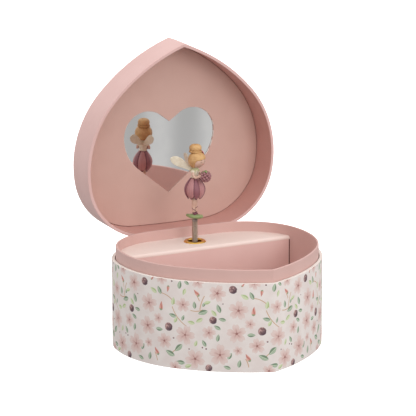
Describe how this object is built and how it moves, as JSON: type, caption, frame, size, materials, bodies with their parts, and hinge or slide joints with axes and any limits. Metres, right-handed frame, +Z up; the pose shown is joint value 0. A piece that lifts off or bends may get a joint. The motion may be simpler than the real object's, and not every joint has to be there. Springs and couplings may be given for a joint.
{
  "type": "wind-up musical jewellery box",
  "caption": "Teardrop-shaped wind-up musical jewellery box with a hinged mirror lid, a lined tray, and a doll that turns on a folding spring.",
  "frame": {"origin": "underside of the body, at the middle of its width and of its length", "axes": "+Z up; -Y towards the blunt front tip and the tray, +Y towards the lid hinge and winding key; +X to the right seen from the front"},
  "size_m": [0.155, 0.1748, 0.2131],
  "materials": {
    "floral_paper": "matt printed paper",
    "greyboard": "raw board",
    "pink_paper": "matt covering paper",
    "lining_paper": "matt lining paper",
    "mirror": "polished",
    "gold": "polished gold plate",
    "brass": "satin",
    "steel": "satin",
    "leaf_green": "painted resin",
    "plum_paint": "painted resin",
    "skin_paint": "painted resin",
    "pink_paint": "painted resin",
    "cream_paint": "painted resin",
    "pale_green_paint": "painted resin",
    "hair_paint": "painted resin",
    "blossom_paint": "painted resin",
    "berry_paint": "painted resin"
  },
  "bodies": {
    "box": {"floral_wrap": "floral_paper", "case_wall": "greyboard", "bottom_board": "greyboard", "collar": "pink_paper", "tray_lining": "lining_paper", "deck_top": "pink_paper", "deck_front": "pink_paper", "eyelet": "gold", "eyelet_washer": "gold", "hinge_body_leaves": "brass", "hinge_pins": "brass", "hinge_rivets": "brass", "bedplate": "steel", "standoffs": "brass", "mounting_screws": "steel", "bearing_brackets": "steel", "governor_frame": "steel", "comb": "steel", "comb_base": "steel", "comb_screws": "steel", "click_spring": "steel", "key_escutcheon": "brass", "flex_spring": "steel"},
    "lid": {"lid_wrap": "pink_paper", "lid_wall": "pink_paper", "lid_top_board": "greyboard", "lid_lining": "lining_paper", "mirror_glass": "mirror", "mirror_spacer": "greyboard", "hinge_lid_leaves": "brass", "lid_rivets": "brass"},
    "winder": {"winding_arbor": "steel", "winding_key": "brass", "ratchet_wheel": "brass"},
    "barrel": {"spring_barrel": "brass", "barrel_cover": "brass", "mainspring": "steel"},
    "cylinder": {"pinned_cylinder": "brass", "tune_pins": "steel", "spindle": "steel", "drive_pinion": "brass", "cylinder_gear": "brass"},
    "governor": {"governor_wheel": "brass"},
    "fly": {"worm_shaft": "steel", "air_brake": "brass"},
    "spring_head": {"swivel_plug": "steel"},
    "figure": {"leaf_base": "leaf_green", "shoes": "plum_paint", "legs": "skin_paint", "pink_petals": "pink_paint", "plum_petals": "plum_paint", "bodice": "cream_paint", "leaf_bib": "pale_green_paint", "arms": "skin_paint", "head": "skin_paint", "hair": "hair_paint", "hair_flower": "blossom_paint", "wings": "cream_paint", "berry": "berry_paint", "berry_leaf": "leaf_green"}
  },
  "joints": [
    {"name": "lid_hinge", "type": "hinge", "parent": "box", "child": "lid", "pos_m": [0, 0.0749, 0.065], "axis": [1, 0, 0], "range_deg": [0, 88]},
    {"name": "spring_bend", "type": "hinge", "parent": "box", "child": "spring_head", "pos_m": [0, 0.0506, 0.0746], "axis": [1, 0, 0], "range_deg": [0, 103.5], "deforming": ["flex_spring"]},
    {"name": "figure_spin", "type": "hinge", "parent": "spring_head", "child": "figure", "pos_m": [0, 0.053, 0.0835], "axis": [0, 0, 1], "continuous": true},
    {"name": "key_wind", "type": "hinge", "parent": "box", "child": "winder", "pos_m": [0, 0.0725, 0.0217], "axis": [0, 1, 0], "range_deg": [0, 1350]},
    {"name": "barrel_turn", "type": "hinge", "parent": "box", "child": "barrel", "pos_m": [0, 0.053, 0.0217], "axis": [0, 1, 0], "continuous": true},
    {"name": "cylinder_turn", "type": "hinge", "parent": "box", "child": "cylinder", "pos_m": [0, 0.053, 0.0395], "axis": [0, 0, 1], "continuous": true},
    {"name": "governor_turn", "type": "hinge", "parent": "box", "child": "governor", "pos_m": [-0.0088, 0.053, 0.0583], "axis": [0, 0, 1], "continuous": true},
    {"name": "fly_turn", "type": "hinge", "parent": "box", "child": "fly", "pos_m": [-0.0151, 0.053, 0.0589], "axis": [0, 1, 0], "continuous": true}
  ],
  "couplings": [
    {"joint": "spring_bend", "follows": "lid_hinge", "ratio": 1.1705},
    {"joint": "barrel_turn", "follows": "cylinder_turn", "ratio": -0.2},
    {"joint": "figure_spin", "follows": "cylinder_turn", "ratio": 1},
    {"joint": "governor_turn", "follows": "cylinder_turn", "ratio": -4.5},
    {"joint": "fly_turn", "follows": "cylinder_turn", "ratio": -90}
  ]
}
